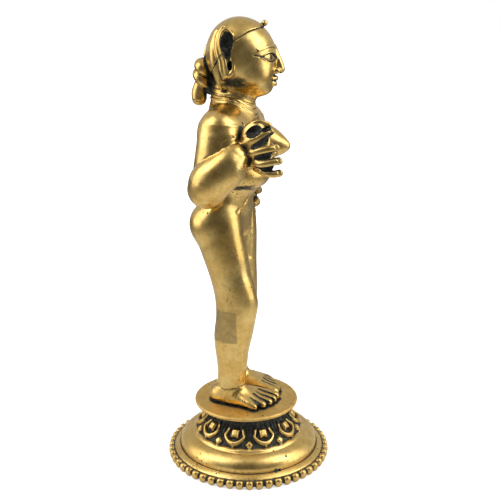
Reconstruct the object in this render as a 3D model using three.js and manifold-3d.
// A cast brass woman on a lotus plinth with a beaded foot, one hand raised at her breast.
// Millimetres, +Z up. The origin is the middle of the plinth's underside, and the figure faces -Y.
import * as THREE from "three";
import { mergeVertices } from "three/addons/utils/BufferGeometryUtils.js";
import Module from "manifold-3d";

const wasm = await Module();
wasm.setup();

// Driving dimensions of the plinth.
const FOOT_RADIUS = 53.5;
const FOOT_HEIGHT = 6;
const BEAD_COUNT = 52;
const BEAD_DEPTH = 1.8;
const BEAD_HALF_HEIGHT = 3.1;
const BEAD_CIRCLE = 55.43;
const BEAD_REACH = 0.9;
const BEAD_FACE = 0.65;
const BEAD_PINCH = 0.35;
const DOME_RADIUS = 48.3;
const DOME_FOOT = 8;
const DOME_TOP_RADIUS = 39.6;
const DOME_TOP = 18.5;
const LOTUS_NECK_RADIUS = 27.5;
const LOTUS_NECK_HEIGHT = 32;
const PETAL_COUNT = 10;
const VIEWER_TURN = 200;
const PETAL_TURN = 19.1;
const PETAL_WIDTH = 17.6;
const PETAL_LENGTH = 14.8;
const PETAL_RIM = 3;
const PETAL_NECK_SHARE = 0.62;
const PETAL_RELIEF = 1.7;
const PETAL_ROOT = 2.5;
const DISC_RADIUS = 36.4;
const DISC_THICKNESS = 2.8;
const DISC_TOP = 40;
const DISC_OFFSET = [3, 2.8];
const DISC_SIDES = 28;
const COLLAR_SIDES = 10;

// Driving dimensions of the figure, which stands a hair clear of the disc.
const SOLE = DISC_TOP + 0.3;
const FIGURE_AT = [4, 1.5, 0];
const SHOULDER_HEIGHT = 232.5;
const HIP_X = 14;
const LEG_X = 12.5;
const BUTTOCK_DEPTH = 21.2;
const BREAST_X = 13.3;
const BREAST_HEIGHT = 219;
const HEAD_AT = [0, 3.4, 275.5];
const HEAD_TURN = 12;
// The hair's lower edge, and a way round above the head, as y and z from the head's middle.
const HAIRLINE = [
  [-30, 28],
  [-13.2, 20.4],
  [-5.3, 17.7],
  [2.4, 12.4],
  [12.4, 1.9],
  [18.9, -6.9],
  [30, -18],
  [30, 40],
  [-30, 40],
];
const HAIR_HALF = [21.9, 21.9, 23.9];
const COLLAR_HEIGHT = 250.5;
const COLLAR_SLOPE = 0.19;
const COLLAR_HALF = 5.4;
const COLLAR_RINGS = [[-3.5, 14.9], [0, 13.9], [3.5, 13.2]];

// Cell sizes of the faceted surfaces, across and upright.
const BODY_CELL = [6.6, 6.6, 11.4];
const HEAD_CELL = [5.8, 5.8, 5.8];
const FOOT_CELL = [5.6, 5.6, 4.4];

// Sides of the round pieces.
const FINGER_SIDES = 5;
const TOE_SIDES = 5;
const RIM_SIDES = 4;
const BREAST_SIDES = 10;

const BRASS = { color: 0xb8903f, roughness: 0.28, metalness: 1 };
const PLINTH_BRASS = { color: 0xa9823a, roughness: 0.32, metalness: 1 };

// Rows of numbers smoothed by a Catmull-Rom curve, with a number of steps to each span.
function smoothRows(rows, steps) {
  const first = rows[0];
  const last = rows[rows.length - 1];
  const before = first.map((v, i) => 2 * v - rows[1][i]);
  const after = last.map((v, i) => 2 * v - rows[rows.length - 2][i]);
  const all = [before, ...rows, after];
  const out = [];
  for (let k = 1; k < all.length - 2; k++) {
    for (let j = 0; j < steps; j++) {
      const t = j / steps;
      out.push(
        all[k].map((b, i) => {
          const a = all[k - 1][i];
          const c = all[k + 1][i];
          const d = all[k + 2][i];
          const bend = 2 * a - 5 * b + 4 * c - d;
          return 0.5 * (2 * b + (c - a) * t + bend * t * t + (3 * b - a - 3 * c + d) * t ** 3);
        }),
      );
    }
  }
  out.push(last);
  return out;
}

// A form is a distance, negative inside, with the corners of the box that holds it.
// An ellipsoid with its half sizes, turned about X, Y and Z in degrees.
function ball(centre, half, turn = [0, 0, 0]) {
  const euler = new THREE.Euler(...turn.map(THREE.MathUtils.degToRad), "ZYX");
  const m = new THREE.Matrix4().makeRotationFromEuler(euler).elements;
  const reach = [0, 1, 2].map((i) => Math.hypot(m[i] * half[0], m[4 + i] * half[1], m[8 + i] * half[2]));
  return {
    lo: centre.map((c, i) => c - reach[i]),
    hi: centre.map((c, i) => c + reach[i]),
    at(x, y, z) {
      const dx = x - centre[0];
      const dy = y - centre[1];
      const dz = z - centre[2];
      const u = (m[0] * dx + m[1] * dy + m[2] * dz) / half[0];
      const v = (m[4] * dx + m[5] * dy + m[6] * dz) / half[1];
      const w = (m[8] * dx + m[9] * dy + m[10] * dz) / half[2];
      const near = Math.hypot(u, v, w);
      const slope = Math.hypot(u / half[0], v / half[1], w / half[2]);
      return (near * (near - 1)) / Math.max(slope, 1e-6);
    },
  };
}

// A round limb through stations of x, y, z and radius.
function limb(stations, steps = 6) {
  const s = smoothRows(stations, steps);
  return {
    lo: [0, 1, 2].map((i) => Math.min(...s.map((p) => p[i] - p[3]))),
    hi: [0, 1, 2].map((i) => Math.max(...s.map((p) => p[i] + p[3]))),
    at(x, y, z) {
      let best = Infinity;
      for (let k = 0; k + 1 < s.length; k++) {
        const [ax, ay, az, ar] = s[k];
        const ex = s[k + 1][0] - ax;
        const ey = s[k + 1][1] - ay;
        const ez = s[k + 1][2] - az;
        const length2 = Math.max(ex * ex + ey * ey + ez * ez, 1e-9);
        const along = ((x - ax) * ex + (y - ay) * ey + (z - az) * ez) / length2;
        const t = Math.min(Math.max(along, 0), 1);
        const gap = Math.hypot(x - ax - t * ex, y - ay - t * ey, z - az - t * ez);
        best = Math.min(best, gap - ar - t * (s[k + 1][3] - ar));
      }
      return best;
    },
  };
}

// An upright form from sections: height, x and y of the middle, half width, depth in front and depth behind.
function column(sections) {
  const s = smoothRows(sections, 8);
  const low = s[0][0];
  const high = s[s.length - 1][0];
  return {
    lo: [Math.min(...s.map((p) => p[1] - p[3])), Math.min(...s.map((p) => p[2] - p[4])), low],
    hi: [Math.max(...s.map((p) => p[1] + p[3])), Math.max(...s.map((p) => p[2] + p[5])), high],
    at(x, y, z) {
      const h = Math.min(Math.max(z, low), high);
      let k = 0;
      while (k < s.length - 2 && s[k + 1][0] < h) k++;
      const t = Math.min(Math.max((h - s[k][0]) / (s[k + 1][0] - s[k][0]), 0), 1);
      const [, cx, cy, wide, front, back] = s[k].map((v, i) => v + t * (s[k + 1][i] - v));
      const dy = y - cy;
      const deep = dy < 0 ? front : back;
      const near = Math.hypot((x - cx) / wide, dy / deep);
      const slope = Math.hypot((x - cx) / wide ** 2, dy / deep ** 2);
      const round = near < 1e-4 ? -Math.min(wide, deep) : (near * (near - 1)) / slope;
      return Math.max(round, low - z, z - high);
    },
  };
}

// Two distances joined with a fillet of a given reach.
function blended(a, b, reach) {
  if (reach <= 0) return Math.min(a, b);
  const h = Math.max(reach - Math.abs(a - b), 0) / reach;
  return Math.min(a, b) - (h * h * reach) / 4;
}

// A sculpted form: shapes joined one after the other, each with a fillet of its own.
class Sculpt {
  constructor() {
    this.steps = [];
  }

  add(shape, reach = 0) {
    this.steps.push({ shape, reach });
    return this;
  }

  at(x, y, z) {
    let d = 1000;
    for (const { shape, reach } of this.steps) {
      const margin = reach + 3;
      const away = [x, y, z].some((v, i) => v < shape.lo[i] - margin || v > shape.hi[i] + margin);
      if (!away) d = blended(d, shape.at(x, y, z), reach);
    }
    return Math.max(d, SOLE - z);
  }
}

// The grid lines of a box on one axis, two cells beyond it at each end.
function gridLines(low, high, cell) {
  const count = Math.ceil((high - low) / cell) + 5;
  const start = (low + high) / 2 - ((count - 1) / 2) * cell;
  return Array.from({ length: count }, (_, i) => start + i * cell);
}

// The closed faceted surface of a sculpted form: one vertex in each grid cell that the surface crosses.
function faceted(sculpt, cell) {
  const added = sculpt.steps.map((s) => s.shape);
  const lines = [0, 1, 2].map((i) =>
    gridLines(Math.min(...added.map((s) => s.lo[i])), Math.max(...added.map((s) => s.hi[i])), cell[i]),
  );
  const [nx, ny, nz] = lines.map((l) => l.length);
  const index = (i, j, k) => (i * ny + j) * nz + k;
  const stride = [ny * nz, nz, 1];
  const d = new Float64Array(nx * ny * nz);
  for (let i = 0; i < nx; i++)
    for (let j = 0; j < ny; j++)
      for (let k = 0; k < nz; k++) d[index(i, j, k)] = sculpt.at(lines[0][i], lines[1][j], lines[2][k]);
  fillPinches(d, [nx, ny, nz], index, stride);
  const points = [];
  const cellVertex = new Int32Array(d.length).fill(-1);
  for (let i = 0; i + 1 < nx; i++)
    for (let j = 0; j + 1 < ny; j++)
      for (let k = 0; k + 1 < nz; k++) {
        const middle = crossingMiddle(d, [i, j, k], lines, index(i, j, k), stride);
        if (!middle) continue;
        cellVertex[index(i, j, k)] = points.length;
        points.push(onSurface(sculpt, middle));
      }
  const triangles = [];
  const quad = (a, b, c, e) => {
    const [p, q, r, s] = [a, b, c, e].map((v) => points[v]);
    if (p.distanceToSquared(r) < q.distanceToSquared(s)) triangles.push(a, b, c, a, c, e);
    else triangles.push(a, b, e, b, c, e);
  };
  for (let i = 1; i + 1 < nx; i++)
    for (let j = 1; j + 1 < ny; j++)
      for (let k = 1; k + 1 < nz; k++)
        for (let axis = 0; axis < 3; axis++) {
          const here = index(i, j, k);
          const next = here + stride[axis];
          if (d[here] < 0 === d[next] < 0) continue;
          const u = stride[(axis + 1) % 3];
          const w = stride[(axis + 2) % 3];
          const ring = [here - u - w, here - w, here, here - u].map((c) => cellVertex[c]);
          if (d[here] < 0) quad(...ring);
          else quad(...ring.reverse());
        }
  return indexed(points, triangles);
}

// Where two inside corners of a cell face meet only across its diagonal, one of the others is filled in,
// so that every edge of the surface has just two faces.
function fillPinches(d, size, index, stride) {
  let changed = true;
  while (changed) {
    changed = false;
    for (let i = 0; i + 1 < size[0]; i++)
      for (let j = 0; j + 1 < size[1]; j++)
        for (let k = 0; k + 1 < size[2]; k++)
          for (let axis = 0; axis < 3; axis++) {
            const a = index(i, j, k);
            const b = a + stride[(axis + 1) % 3];
            const c = a + stride[(axis + 2) % 3];
            const e = b + stride[(axis + 2) % 3];
            const [fa, fb, fc, fe] = [a, b, c, e].map((v) => d[v] < 0);
            if (fa !== fe || fb !== fc || fa === fb) continue;
            const outside = fa ? [b, c] : [a, e];
            const filled = d[outside[0]] < d[outside[1]] ? outside[0] : outside[1];
            d[filled] = -0.05;
            changed = true;
          }
  }
}

// The mean of the points where the surface crosses a cell's twelve edges.
function crossingMiddle(d, cell, lines, base, stride) {
  const sum = new THREE.Vector3();
  let count = 0;
  for (let axis = 0; axis < 3; axis++) {
    const u = (axis + 1) % 3;
    const w = (axis + 2) % 3;
    for (const [du, dw] of [[0, 0], [1, 0], [0, 1], [1, 1]]) {
      const a = base + du * stride[u] + dw * stride[w];
      const b = a + stride[axis];
      if (d[a] < 0 === d[b] < 0) continue;
      const t = d[a] / (d[a] - d[b]);
      const p = [0, 0, 0];
      p[axis] = lines[axis][cell[axis]] + t * (lines[axis][cell[axis] + 1] - lines[axis][cell[axis]]);
      p[u] = lines[u][cell[u] + du];
      p[w] = lines[w][cell[w] + dw];
      sum.add(new THREE.Vector3(...p));
      count++;
    }
  }
  return count ? sum.divideScalar(count) : null;
}

// A point near the surface, moved onto it down the distance's slope.
function onSurface(sculpt, start) {
  const p = start.clone();
  const e = 0.05;
  for (let round = 0; round < 3; round++) {
    const { x, y, z } = p;
    const slope = new THREE.Vector3(
      sculpt.at(x + e, y, z) - sculpt.at(x - e, y, z),
      sculpt.at(x, y + e, z) - sculpt.at(x, y - e, z),
      sculpt.at(x, y, z + e) - sculpt.at(x, y, z - e),
    ).divideScalar(2 * e);
    const step = THREE.MathUtils.clamp(sculpt.at(x, y, z) / Math.max(slope.lengthSq(), 0.05), -0.8, 0.8);
    p.addScaledVector(slope, -step);
  }
  return p;
}

// A closed tube with a rounded tip, through stations of x, y, z and radius.
function tube(stations, sides) {
  const path = stations.map((r) => new THREE.Vector3(r[0], r[1], r[2]));
  const { tangents, normals, binormals } = frames(path);
  const points = [];
  const ring = (middle, k, radius) => {
    for (let i = 0; i < sides; i++) {
      const turn = (i / sides) * 2 * Math.PI;
      const p = middle.clone();
      p.addScaledVector(normals[k], radius * Math.cos(turn));
      p.addScaledVector(binormals[k], radius * Math.sin(turn));
      points.push(p);
    }
  };
  stations.forEach((r, k) => ring(path[k], k, r[3]));
  const last = stations.length - 1;
  const tip = path[last];
  const tipRadius = stations[last][3];
  ring(tip.clone().addScaledVector(tangents[last], 0.6 * tipRadius), last, 0.75 * tipRadius);
  const rings = stations.length + 1;
  points.push(path[0].clone().addScaledVector(tangents[0], -0.5 * stations[0][3]));
  points.push(tip.clone().addScaledVector(tangents[last], tipRadius));
  const triangles = [];
  for (let k = 0; k + 1 < rings; k++)
    for (let i = 0; i < sides; i++) {
      const a = k * sides + i;
      const b = k * sides + ((i + 1) % sides);
      triangles.push(a, b, b + sides, a, b + sides, a + sides);
    }
  for (let i = 0; i < sides; i++) {
    const next = (i + 1) % sides;
    const top = (rings - 1) * sides;
    triangles.push(next, i, rings * sides, top + i, top + next, rings * sides + 1);
  }
  return indexed(points, triangles);
}

function indexed(points, triangles) {
  const geometry = new THREE.BufferGeometry();
  const flat = points.flatMap((p) => p.toArray());
  geometry.setAttribute("position", new THREE.Float32BufferAttribute(flat, 3));
  geometry.setIndex(triangles);
  return geometry;
}

// The direction of a path at each of its points, and two directions across it that don't twist.
function frames(points) {
  const tangents = points.map((p, i) => {
    const ahead = points[Math.min(i + 1, points.length - 1)];
    const behind = points[Math.max(i - 1, 0)];
    return ahead.clone().sub(behind).normalize();
  });
  const start = Math.abs(tangents[0].x) < 0.8 ? new THREE.Vector3(1, 0, 0) : new THREE.Vector3(0, 0, 1);
  const normals = [start.cross(tangents[0]).normalize()];
  for (let i = 1; i < points.length; i++) {
    const across = normals[i - 1].clone().addScaledVector(tangents[i], -normals[i - 1].dot(tangents[i]));
    normals.push(across.normalize());
  }
  const binormals = tangents.map((t, i) => t.clone().cross(normals[i]));
  return { tangents, normals, binormals };
}

// A faceted ellipsoid, turned about Z in degrees.
function pebble(centre, half, turn = 0, detail = 1) {
  const body = new THREE.IcosahedronGeometry(1, detail);
  body.scale(...half);
  body.rotateZ(THREE.MathUtils.degToRad(turn));
  body.translate(...centre);
  return body;
}

// A faceted ellipsoid that leans over about X by an angle in degrees.
function leaning(centre, half, lean) {
  const body = pebble([0, 0, 0], half);
  body.rotateX(THREE.MathUtils.degToRad(lean));
  body.translate(...centre);
  return body;
}

// A closed three.js geometry as a manifold-3d solid.
function solid(geometry) {
  const bare = geometry.clone();
  bare.deleteAttribute("normal");
  bare.deleteAttribute("uv");
  const merged = mergeVertices(bare, 1e-4);
  const mesh = new wasm.Mesh({
    numProp: 3,
    vertProperties: new Float32Array(merged.attributes.position.array),
    triVerts: new Uint32Array(merged.index.array),
  });
  return new wasm.Manifold(mesh);
}

// The biggest body of a solid as a named mesh.
function meshOf(name, made, looks) {
  const body = made.decompose().reduce((a, b) => (a.volume() > b.volume() ? a : b));
  const out = body.getMesh();
  const points = Array.from({ length: out.numVert }, (_, i) =>
    new THREE.Vector3().fromArray(out.vertProperties, i * out.numProp),
  );
  const geometry = indexed(points, [...out.triVerts]);
  geometry.computeVertexNormals();
  const mesh = new THREE.Mesh(geometry, new THREE.MeshStandardMaterial(looks));
  mesh.name = name;
  return mesh;
}

// Sections of a trunk or limb: height, x and y of the middle, half width, depth in front and depth behind.
const TORSO = [
  [176, 0, 14, 12, 8, 8],
  [184, 0, 12.5, 19, 12, 11.5],
  [191, 0, 9, 20.5, 15, 13.5],
  [196, 0, 7, 21.5, 18.5, 14],
  [202, 0, 6, 23, 19.5, 14.5],
  [210, 0, 7, 24.5, 18, 15],
  [218, 0, 9, 25.5, 17, 15.5],
  [226, 0, 10, 26, 17, 15.5],
  [234, 0, 10.5, 25, 16, 15.5],
  [240, 0, 10.5, 22.5, 14.5, 15],
  [245, 0, 10.8, 19, 12.5, 14],
  [249, 0, 11, 14, 11, 12.5],
];
const PELVIS = [
  [156, 0, 16, 14, 8, 8],
  [160, 0, 16, 22, 13, 12],
  [166, 0, 16.5, 26, 15, 14],
  [174, 0, 16.5, 27.5, 16, 14.5],
  [181, 0, 15, 26.5, 14.5, 13.5],
  [188, 0, 12, 21, 13.2, 12.5],
  [194, 0, 10, 17, 11, 11],
  [199, 0, 9, 9, 6, 6],
];
// The right leg is set forward at the knee, and the left one stands straight under the hip.
const RIGHT_LEG = [
  [46, -12, 11, 7.6, 9, 8.5],
  [53, -12, 8.5, 8, 9.3, 10],
  [64, -12, 7.5, 9, 10.2, 10.4],
  [78, -12.3, 7.8, 10.3, 12, 11.4],
  [90, -12.6, 7, 11.3, 14, 12.8],
  [104, -12.8, 4.6, 12, 14.3, 13.6],
  [114, -13, 4, 12, 15.2, 14.4],
  [124, -13.2, 5, 12.2, 14.5, 15],
  [136, -13.5, 8.5, 12.8, 14.5, 14.8],
  [148, -14, 11.8, 13.6, 15.8, 15.6],
  [160, -14.3, 14.6, 14, 16.2, 16.4],
  [172, -14, 16.2, 13.4, 15.6, 15.2],
  [182, -12, 15.5, 11, 12, 11],
  [190, -10, 13, 6, 6, 6],
];
const LEFT_LEG = [
  [46, 13, 16.5, 7.6, 9, 8.5],
  [53, 13, 15.5, 8, 9, 9.8],
  [64, 13, 15.5, 9, 9.6, 10.4],
  [78, 13, 15.5, 10.3, 12, 11.4],
  [90, 13, 15, 11.3, 14, 12.8],
  [104, 13, 14, 12, 14.8, 13.6],
  [114, 13, 13.5, 12, 14.8, 14.2],
  [124, 13.2, 13.5, 12.2, 14.6, 14.8],
  [136, 13.5, 14, 12.8, 14.6, 15],
  [148, 14, 15, 13.6, 15.4, 15.6],
  [160, 14.3, 16, 14, 16.2, 16.4],
  [172, 14, 16.4, 13.4, 15.6, 15.2],
  [182, 12, 15.5, 11, 12, 11],
  [190, 10, 13, 6, 6, 6],
];
const RIGHT_UPPER_ARM = [
  [192, -32.5, 13, 9, 9.5, 10],
  [200, -32.5, 13, 11, 12.6, 12.4],
  [210, -31, 12.2, 11.6, 14, 12.8],
  [220, -29, 11, 12.2, 15, 13.2],
  [230, -26.5, 10.5, 12.6, 15.4, 13],
  [236, -24, 10.5, 11, 13.5, 11.8],
];
const LEFT_UPPER_ARM = [
  [194, 36, 16, 9, 9, 9],
  [200, 35.5, 15.5, 11.2, 11.2, 11.6],
  [210, 33.5, 14.5, 11.6, 12, 12.4],
  [220, 30.5, 13.5, 12, 13, 13.4],
  [230, 26.5, 12.5, 12.2, 13.2, 13],
  [236, 23.5, 11.5, 10.8, 12.2, 11.6],
];
// Stations of the forearms, the fingers and the thumbs: x, y, z and radius.
const RIGHT_FOREARM = [
  [-35, 14.4, 196.4, 12.5],
  [-35.6, 10, 202.4, 13.6],
  [-33.8, 3.4, 210.4, 13],
  [-30.4, -1, 216.8, 10.6],
];
const LEFT_FOREARM = [
  [36, 15.5, 200, 11.4],
  [37, 15.5, 194, 11.6],
  [36, 15, 187, 10.4],
  [34.5, 14.5, 182, 8.8],
];
const RAISED_FINGERS = [
  [[-27.6, -6.5, 225.6, 4.2], [-30.2, -14, 229, 3.8], [-29.4, -19.8, 231.8, 3.3], [-27, -24.2, 234, 2.7]],
  [[-27.6, -9, 219.6, 3.8], [-30.8, -16.8, 221.8, 3], [-29.4, -23.5, 223.4, 2.7], [-26.4, -28, 224.1, 2.6]],
  [[-27.2, -12.5, 214, 3.6], [-30.4, -19.8, 214.2, 2.9], [-29, -25.5, 215.2, 2.7], [-26.4, -29.8, 216, 2.6]],
  [[-25.4, -15.5, 210.4, 3.2], [-27.8, -22.2, 208.2, 2.8], [-27.2, -26.6, 207.7, 2.6], [-25.6, -30, 208, 2.6]],
];
const RAISED_THUMB = [
  [-28, -6, 226, 2.2],
  [-28.8, -8.6, 233.4, 2],
  [-28, -12.8, 238, 2],
  [-26.4, -17.6, 239.4, 2.2],
  [-25, -22.6, 237.4, 2.2],
];
const LOWERED_FINGERS = [
  [[31, 15.5, 184, 4.6], [34.5, 10, 188, 3.7], [32.5, 5, 191, 3.1], [28, 2.5, 192, 2.5]],
  [[31.5, 15.5, 181, 4.6], [35, 9, 182, 3.7], [32.5, 4.5, 183, 3.1], [27.5, 3.3, 183.4, 2.5]],
  [[31.5, 15.5, 178, 4.6], [34.5, 10, 176.4, 3.6], [32, 5.7, 174.4, 3], [27.5, 5.5, 173.6, 2.4]],
  [[31, 16.5, 175, 4.4], [33.5, 12, 171, 3.3], [31.5, 8.5, 167.6, 2.8], [28, 8.1, 166, 2.3]],
];
const LOWERED_THUMB = [
  [29, 14.5, 186, 4.2],
  [30, 10.5, 193.4, 3.3],
  [29.4, 5.5, 197, 2.9],
  [27.6, 1, 196.6, 2.6],
  [26.4, -2.5, 194.6, 2.2],
];
const NECK = [
  [240, 0, 10, 12.5, 14, 13],
  [246, 0, 9.9, 11.8, 13.2, 13.3],
  [252, 0, 9.9, 11.3, 13.2, 13.6],
  [258, 0, 9.2, 11.3, 13, 14],
  [265, 0, 8, 12, 12, 14],
];

function trunkAndLimbs() {
  const s = new Sculpt();
  s.add(column(PELVIS));
  s.add(column(TORSO), 4);
  s.add(ball([0, -1.2, 201.5], [17, 12, 9.5]), 4);
  s.add(ball([0, 8.5, 183], [16, 10.5, 12]), 3);
  s.add(column(RIGHT_LEG), 2.5);
  s.add(column(LEFT_LEG), 2.5);
  for (const x of [0.5 - HIP_X, HIP_X - 0.5]) s.add(ball([x, BUTTOCK_DEPTH, 168.5], [15.5, 14.6, 15.5]), 4);
  s.add(ball([-22.5, 10.4, SHOULDER_HEIGHT], [15.5, 14.2, 13.8], [0, 14, 0]), 9);
  s.add(ball([22.5, 11, SHOULDER_HEIGHT - 1], [15, 13.2, 13.4], [0, -14, 0]), 9);
  s.add(column(NECK.slice(0, 4)), 7);
  s.add(column(RIGHT_UPPER_ARM), 3);
  s.add(column(LEFT_UPPER_ARM), 3);
  s.add(limb(RIGHT_FOREARM), 0.6);
  s.add(limb(LEFT_FOREARM), 1.5);
  return faceted(s, BODY_CELL);
}

function breast(side) {
  return tube(
    [
      [side * (BREAST_X - 1.3), -1, BREAST_HEIGHT + 3, 13],
      [side * (BREAST_X - 0.3), -8, BREAST_HEIGHT + 1.5, 11.2],
      [side * BREAST_X, -15.5, BREAST_HEIGHT + 0.2, 7.4],
      [side * BREAST_X, -20.3, BREAST_HEIGHT - 0.2, 4.3],
    ],
    BREAST_SIDES,
  );
}

// A hand: the palm, four fingers fanned forward from it, and the thumb arched over them.
function hand(palm, fingers, thumb) {
  return [...palm, ...[...fingers, thumb].map((digit) => tube(digit, FINGER_SIDES))];
}

function raisedHand() {
  const upper = leaning([-26.8, -15, 227.8], [6.6, 10, 12.6], -12);
  const lower = leaning([-26, -18.6, 217], [5.8, 7.8, 10.2], -28);
  return hand([upper, lower], RAISED_FINGERS, RAISED_THUMB);
}

const loweredHand = () => hand([pebble([31, 16.5, 180], [6.2, 8.4, 9.8])], LOWERED_FINGERS, LOWERED_THUMB);

// A foot from the ankle to five toes, each one a ray of a fan from the instep.
function foot(heel, sole, ankle, toes) {
  const midX = (heel[0] + sole[0]) / 2;
  const midY = (heel[1] + sole[1]) / 2;
  const instep = new Sculpt();
  instep.add(ball([heel[0], heel[1], 45.2], [7.6, 8, 7]), 4);
  instep.add(
    limb([
      [ankle[0], ankle[1] + 1, 51.4, 7.7],
      [(ankle[0] + sole[0]) / 2, (ankle[1] + sole[1]) / 2, 47, 6.2],
      [sole[0], sole[1] + 5, 44.2, 4.8],
    ]),
    3,
  );
  instep.add(ball([midX, midY, 42.8], [8.4, 14.6, 5.4]), 3);
  const rays = toes.map(([x, y, radius]) =>
    tube(
      [
        [midX + (x - sole[0]) * 0.45, midY - 2, 45.5, 5],
        [sole[0] + (x - sole[0]) * 0.82, sole[1] + 3.5 + (y - sole[1]) * 0.25, 43.6, radius + 0.9],
        [x, y + 1.2, 42.4, radius],
      ],
      TOE_SIDES,
    ),
  );
  return [faceted(instep, FOOT_CELL), ...rays];
}

const rightFoot = () =>
  foot([-LEG_X + 0.5, 16.4], [-11.5, -10], [-12, 8], [
    [-20.9, -12.9, 2.4],
    [-15.4, -17.3, 2.5],
    [-9.9, -20.1, 2.6],
    [-4.6, -21.3, 2.7],
    [0.9, -20.9, 3.3],
  ]);

const leftFoot = () =>
  foot([LEG_X + 1, 19.5], [15, -8], [13, 14.5], [
    [25.2, -9.2, 2.4],
    [20.8, -13.2, 2.5],
    [16.6, -16.2, 2.6],
    [12.4, -18.2, 2.7],
    [7.4, -18.4, 3.3],
  ]);

// Places in the head's own frame, which is turned to the figure's left.
function onHead([x, y, z]) {
  const a = THREE.MathUtils.degToRad(HEAD_TURN);
  const c = Math.cos(a);
  const s = Math.sin(a);
  return [HEAD_AT[0] + c * x - s * y, HEAD_AT[1] + s * x + c * y, HEAD_AT[2] + z];
}

const headBall = (centre, half, turn = 0) => ball(onHead(centre), half, [turn, 0, HEAD_TURN]);
const headPebble = (centre, half) => pebble(onHead(centre), half, HEAD_TURN, 0);
const headTube = (stations) => tube(stations.map(([x, y, z, r]) => [...onHead([x, y, z]), r]), RIM_SIDES);

function head() {
  const s = new Sculpt();
  s.add(headBall([0, 2.4, 3.2], [21, 21, 23]), 3);
  s.add(headBall([0, -4.6, -2], [18.2, 17, 21.3]), 6);
  s.add(headBall([0, -12.5, -17.2], [7, 6.5, 5.6]), 5);
  for (const side of [-1, 1]) s.add(headBall([side * 9.2, -9.6, -9.5], [8.2, 8.6, 8.6]), 5);
  s.add(column(NECK.slice(2)), 5);
  return faceted(s, HEAD_CELL);
}

// The cap of smooth hair, a step proud of the forehead, with its edge sloping down behind the ears.
function hairCap() {
  const cap = new THREE.SphereGeometry(1, 14, 9);
  cap.rotateX(Math.PI / 2);
  cap.scale(...HAIR_HALF);
  cap.rotateZ(THREE.MathUtils.degToRad(HEAD_TURN));
  cap.translate(...onHead([0, 2.4, 3.2]));
  const edge = new THREE.Shape(HAIRLINE.map(([y, z]) => new THREE.Vector2(y, z)));
  const above = new THREE.ExtrudeGeometry(edge, { depth: 60, bevelEnabled: false });
  above.translate(0, 0, -30);
  above.rotateX(Math.PI / 2);
  above.rotateZ(THREE.MathUtils.degToRad(90 + HEAD_TURN));
  above.translate(...onHead([0, 0, 0]));
  return solid(cap).intersect(solid(above));
}

function face() {
  const pairs = [-1, 1].flatMap((side) => [
    headPebble([side * 3, -22.4, -7.5], [2.7, 3.3, 2.5]),
    headPebble([side * 8.6, -17, 2], [5, 3.2, 2.6]),
  ]);
  return [
    headTube([[0, -17.8, 8.5, 2.2], [0, -21.2, 2, 2.6], [0, -23.4, -3, 3], [0, -24, -5.9, 3]]),
    ...pairs,
    headPebble([0, -18.6, -12.2], [4.9, 3.2, 1.5]),
    headPebble([0, -18, -14.9], [4.2, 3.1, 1.8]),
  ];
}

// A long ear: a curled rim round a hollow, and a lobe that hangs free of the jaw.
function ear(side) {
  return [
    headPebble([side * 16.6, 7, 4], [5, 6, 15.2]),
    headTube([
      [side * 16, 3.4, 9.5, 1.6],
      [side * 17.8, 4.4, 16, 1.8],
      [side * 17.6, 7.6, 18.4, 2],
      [side * 18.6, 10.6, 14.4, 2.2],
      [side * 20, 11.2, 7, 2.2],
      [side * 20.4, 10.6, 0, 2.2],
      [side * 20.4, 9.9, -5, 2.2],
      [side * 20.4, 7.6, -9.4, 2.2],
      [side * 20.4, 4.8, -9.4, 2],
      [side * 20.2, 3.6, -5, 1.8],
      [side * 20, 3.9, -0.5, 1.7],
      [side * 18.2, 5, 3.5, 1.6],
    ]),
  ];
}

// A coil of hair lies over another at the back of the head, and its end hangs down.
function bun() {
  return [
    leaning([0, 30, 269.2], [9.8, 7.4, 5.3], 42),
    leaning([0, 32.4, 262.6], [9.1, 6.8, 4.7], 38),
    leaning([0, 26.6, 259.5], [3.4, 5, 7], 0),
    leaning([0, 26.6, 280], [2.4, 2.6, 4.6], 14),
    tube([[0, 31.5, 264, 4.8], [0, 34, 256, 5.4], [0, 34.2, 250, 5.1]], 8),
  ];
}

// The drop that lies on the parting of the hair.
function hairlineBead() {
  const drop = new THREE.IcosahedronGeometry(2, 0);
  drop.translate(...onHead([0, -13.5, 22.1]));
  return drop;
}

// A collar of three rings round the neck, lower in front.
function collar() {
  const profile = [new THREE.Vector2(0, -COLLAR_HALF), new THREE.Vector2(13.6, -COLLAR_HALF)];
  for (const [height, radius] of COLLAR_RINGS) {
    profile.push(new THREE.Vector2(radius, height), new THREE.Vector2(radius - 1.4, height + 1.7));
  }
  profile.push(new THREE.Vector2(0, COLLAR_HALF));
  const body = new THREE.LatheGeometry(profile, COLLAR_SIDES);
  body.rotateX(Math.PI / 2);
  body.scale(0.9, 1.06, 1);
  body.rotateX(COLLAR_SLOPE);
  body.translate(0, 9.9, COLLAR_HEIGHT);
  return body;
}

function radhaFigure() {
  const pieces = [
    trunkAndLimbs(),
    breast(-1),
    breast(1),
    ...raisedHand(),
    ...loweredHand(),
    ...rightFoot(),
    ...leftFoot(),
    head(),
    ...face(),
    ...ear(-1),
    ...ear(1),
    ...bun(),
    hairlineBead(),
    collar(),
  ];
  const underSoles = new THREE.BoxGeometry(100, 100, 20);
  underSoles.translate(0, 0, SOLE - 10);
  const whole = [...pieces.map(solid), hairCap()].reduce((a, b) => a.add(b)).subtract(solid(underSoles));
  return meshOf("radha_figure", whole.translate(FIGURE_AT), BRASS);
}

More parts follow.
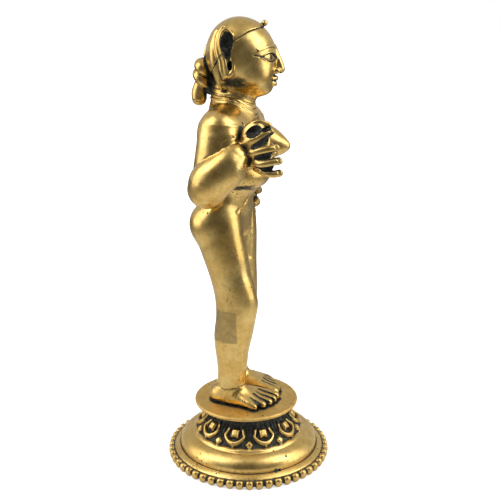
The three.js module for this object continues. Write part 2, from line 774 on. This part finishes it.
// A closed body of revolution from rows of points, the lowest first, each row a full turn of one height.
// A row has as many points as the one before it, or half as many, and the first and last close on the axis.
function revolved(rows) {
  const points = [];
  const triangles = [];
  const starts = rows.map((row) => {
    const start = points.length;
    row.forEach(([radius, height], i) => {
      const turn = (i / row.length) * 2 * Math.PI;
      points.push(new THREE.Vector3(radius * Math.cos(turn), radius * Math.sin(turn), height));
    });
    return start;
  });
  for (let r = 0; r + 1 < rows.length; r++) {
    const low = (i) => starts[r] + (i % rows[r].length);
    const high = (i) => starts[r + 1] + (i % rows[r + 1].length);
    const share = rows[r].length / rows[r + 1].length;
    for (let i = 0; i < rows[r + 1].length; i++) {
      // Every second quad turns its diagonal round, so that a bead is the same on both its sides.
      if (share === 1 && i % 2) {
        triangles.push(low(i), low(i + 1), high(i + 1), low(i), high(i + 1), high(i));
        continue;
      }
      for (let j = 0; j < share; j++) triangles.push(low(share * i + j), low(share * i + j + 1), high(i));
      triangles.push(low(share * (i + 1)), high(i + 1), high(i));
    }
  }
  const last = rows.length - 1;
  for (const [r, turned] of [[0, false], [last, true]]) {
    const middle = points.length;
    points.push(new THREE.Vector3(0, 0, rows[r][0][1]));
    for (let i = 0; i < rows[r].length; i++) {
      const here = starts[r] + i;
      const next = starts[r] + ((i + 1) % rows[r].length);
      triangles.push(...(turned ? [middle, here, next] : [middle, next, here]));
    }
  }
  return indexed(points, triangles);
}

// The beaded foot, the dome and the lotus neck. The foot's rim swells at each bead and slopes up to the dome.
function plinthCore() {
  const beaded = (reach, height) =>
    Array.from({ length: 2 * BEAD_COUNT }, (_, i) => {
      const share = i % 2 ? BEAD_PINCH : 1;
      return [BEAD_CIRCLE + reach * share, BEAD_HALF_HEIGHT + (height - BEAD_HALF_HEIGHT) * share];
    });
  const plain = (radius, height) => Array.from({ length: BEAD_COUNT / 2 }, () => [radius, height]);
  const bulge = new THREE.CubicBezierCurve(
    new THREE.Vector2(DOME_RADIUS, DOME_FOOT),
    new THREE.Vector2(DOME_RADIUS + 0.8, DOME_FOOT + 5.4),
    new THREE.Vector2(DOME_TOP_RADIUS + 5, DOME_TOP - 0.6),
    new THREE.Vector2(DOME_TOP_RADIUS, DOME_TOP),
  );
  const carrier = DISC_TOP - DISC_THICKNESS + 0.6;
  return revolved([
    Array.from({ length: 2 * BEAD_COUNT }, () => [FOOT_RADIUS, 0]),
    beaded(BEAD_DEPTH * BEAD_REACH, BEAD_HALF_HEIGHT * (1 - BEAD_FACE)),
    beaded(BEAD_DEPTH * BEAD_REACH, BEAD_HALF_HEIGHT * (1 + BEAD_FACE)),
    plain(FOOT_RADIUS - 0.7, FOOT_HEIGHT),
    plain(DOME_RADIUS + 0.5, DOME_FOOT + 0.1),
    ...bulge.getPoints(3).map((p) => plain(p.x, p.y)),
    plain(LOTUS_NECK_RADIUS, LOTUS_NECK_HEIGHT - 1.5),
    plain(LOTUS_NECK_RADIUS, carrier),
  ]);
}

// The standing disc, with a rounded edge, set a little off the plinth's axis.
function disc() {
  const half = DISC_THICKNESS / 2;
  const edge = Array.from({ length: 4 }, (_, i) => {
    const a = -Math.PI / 2 + (Math.PI * i) / 3;
    return new THREE.Vector2(DISC_RADIUS - half + half * Math.cos(a), DISC_TOP - half + half * Math.sin(a));
  });
  const profile = [new THREE.Vector2(0, DISC_TOP - DISC_THICKNESS), ...edge, new THREE.Vector2(0, DISC_TOP)];
  const plate = new THREE.LatheGeometry(profile, DISC_SIDES);
  plate.rotateX(Math.PI / 2);
  plate.translate(DISC_OFFSET[0], DISC_OFFSET[1], 0);
  return plate;
}

// Lays a flat petal, x across and y down its length, on the cone between the neck and the dome's top.
function onCone(geometry, turn) {
  const run = DOME_TOP_RADIUS - LOTUS_NECK_RADIUS;
  const fall = LOTUS_NECK_HEIGHT - DOME_TOP;
  const length = Math.hypot(run, fall);
  const position = geometry.attributes.position;
  for (let i = 0; i < position.count; i++) {
    const along = position.getY(i) / length;
    const lift = position.getZ(i);
    const radius = LOTUS_NECK_RADIUS + run * along + (lift * fall) / length;
    const angle = turn - position.getX(i) / radius;
    const height = LOTUS_NECK_HEIGHT - fall * along + (lift * run) / length;
    position.setXYZ(i, radius * Math.cos(angle), radius * Math.sin(angle), height);
  }
  return geometry;
}

// The outline of a petal, straight at the neck and round at its lower end.
function petalOutline(width, top, bottom) {
  const half = width / 2;
  const outline = new THREE.Shape();
  outline.moveTo(-half * PETAL_NECK_SHARE, top);
  outline.lineTo(half * PETAL_NECK_SHARE, top);
  outline.lineTo(half, bottom - half);
  outline.absarc(0, bottom - half, half, 0, Math.PI, false);
  outline.lineTo(-half * PETAL_NECK_SHARE, top);
  return outline;
}

function petal(turn) {
  const rim = petalOutline(PETAL_WIDTH, -1, PETAL_LENGTH);
  rim.holes.push(petalOutline(PETAL_WIDTH - 2 * PETAL_RIM, 1, PETAL_LENGTH - PETAL_RIM));
  const thick = { depth: PETAL_RELIEF + PETAL_ROOT, bevelEnabled: false, curveSegments: 2 };
  const frame = new THREE.ExtrudeGeometry(rim, thick);
  frame.translate(0, 0, -PETAL_ROOT);
  const boss = new THREE.OctahedronGeometry(1);
  boss.scale(3.4, 4.4, 2.2);
  boss.translate(0, PETAL_LENGTH - 9.4, -0.2);
  return [onCone(frame, turn), onCone(boss, turn)];
}

// The small pointed leaf that shows between two petals.
function leafTip(turn) {
  const leaf = new THREE.OctahedronGeometry(1);
  leaf.scale(2.8, 4, 1.8);
  leaf.translate(0, PETAL_LENGTH + 0.2, 0);
  return onCone(leaf, turn);
}

function lotusPlinth() {
  let made = solid(plinthCore()).add(solid(disc()));
  // The petals are counted from the side that faces the figure's right front.
  const viewer = THREE.MathUtils.degToRad(VIEWER_TURN);
  for (let i = 0; i < PETAL_COUNT; i++) {
    const turn = viewer + THREE.MathUtils.degToRad(PETAL_TURN) + (i / PETAL_COUNT) * 2 * Math.PI;
    for (const piece of petal(turn)) made = made.add(solid(piece));
    made = made.add(solid(leafTip(turn + Math.PI / PETAL_COUNT)));
  }
  return meshOf("lotus_plinth", made, PLINTH_BRASS);
}

const radha = new THREE.Group();
radha.add(lotusPlinth(), radhaFigure());

export default radha;
